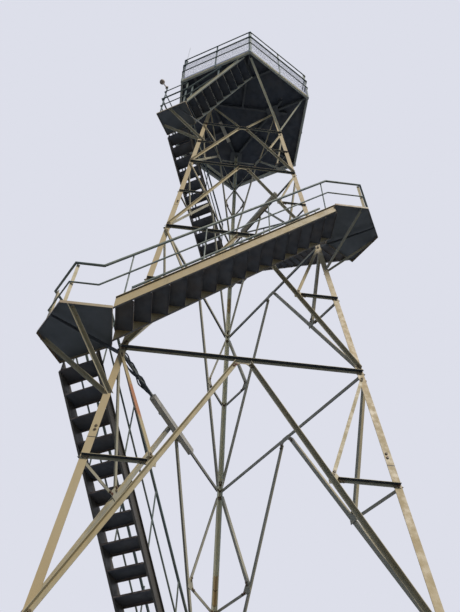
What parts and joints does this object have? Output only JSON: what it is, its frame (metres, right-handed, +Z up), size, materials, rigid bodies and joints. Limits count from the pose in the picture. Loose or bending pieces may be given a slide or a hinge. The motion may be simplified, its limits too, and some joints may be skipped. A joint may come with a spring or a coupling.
{
  "type": "fire lookout tower",
  "caption": "Three-legged braced steel lookout tower with an outside stair that winds round it, corner landings and a hexagonal railed platform.",
  "frame": {"origin": "on the tower's vertical axis at ground level, at the centre of the circle through the outer anchor holes of the base plates", "axes": "+Z up along the tower's axis; -Y faces the front side, which lies between the west and east legs; the third leg stands at +Y"},
  "size_m": [5.7297, 5.2622, 22.0453],
  "materials": {
    "leg_paint": "matt khaki paint",
    "frame_paint": "matt khaki paint",
    "rail_paint": "worn paint",
    "floor_steel": "worn paint",
    "galvanised": "weathered zinc",
    "box_paint": "faded tan paint",
    "fitting_plastic": "weathered"
  },
  "bodies": {
    "root": {"base_plates": "galvanised", "cable_boxes": "box_paint", "corner_lamp": "fitting_plastic", "deck_lamp": "box_paint", "flight_1_railing": "rail_paint", "flight_1_stringers": "frame_paint", "flight_1_treads": "floor_steel", "flight_2_railing": "rail_paint", "flight_2_stringers": "frame_paint", "flight_2_treads": "floor_steel", "flight_3_railing": "rail_paint", "flight_3_stringers": "frame_paint", "flight_3_treads": "floor_steel", "flight_4_railing": "rail_paint", "flight_4_stringers": "frame_paint", "flight_4_treads": "floor_steel", "flight_5_railing": "rail_paint", "flight_5_stringers": "frame_paint", "flight_5_treads": "floor_steel", "flight_6_railing": "rail_paint", "flight_6_stringers": "frame_paint", "flight_6_treads": "floor_steel", "front_bracing": "frame_paint", "front_gussets": "frame_paint", "hatch_lid": "floor_steel", "head_plates": "frame_paint", "kick_plates": "frame_paint", "landing_1": "frame_paint", "landing_1_railing": "rail_paint", "landing_2": "frame_paint", "landing_2_railing": "rail_paint", "landing_3": "frame_paint", "landing_3_railing": "rail_paint", "landing_4": "frame_paint", "landing_4_railing": "rail_paint", "landing_5": "frame_paint", "landing_5_railing": "rail_paint", "landing_beams": "frame_paint", "landing_struts": "frame_paint", "left_bracing": "frame_paint", "left_gussets": "frame_paint", "leg_east": "leg_paint", "leg_north": "leg_paint", "leg_splices": "frame_paint", "leg_west": "leg_paint", "platform_beams": "frame_paint", "platform_deck": "floor_steel", "platform_edge": "frame_paint", "platform_posts": "rail_paint", "platform_rails": "rail_paint", "platform_struts": "frame_paint", "right_bracing": "frame_paint", "right_gussets": "frame_paint", "whip_antenna": "fitting_plastic"}
  },
  "joints": []
}
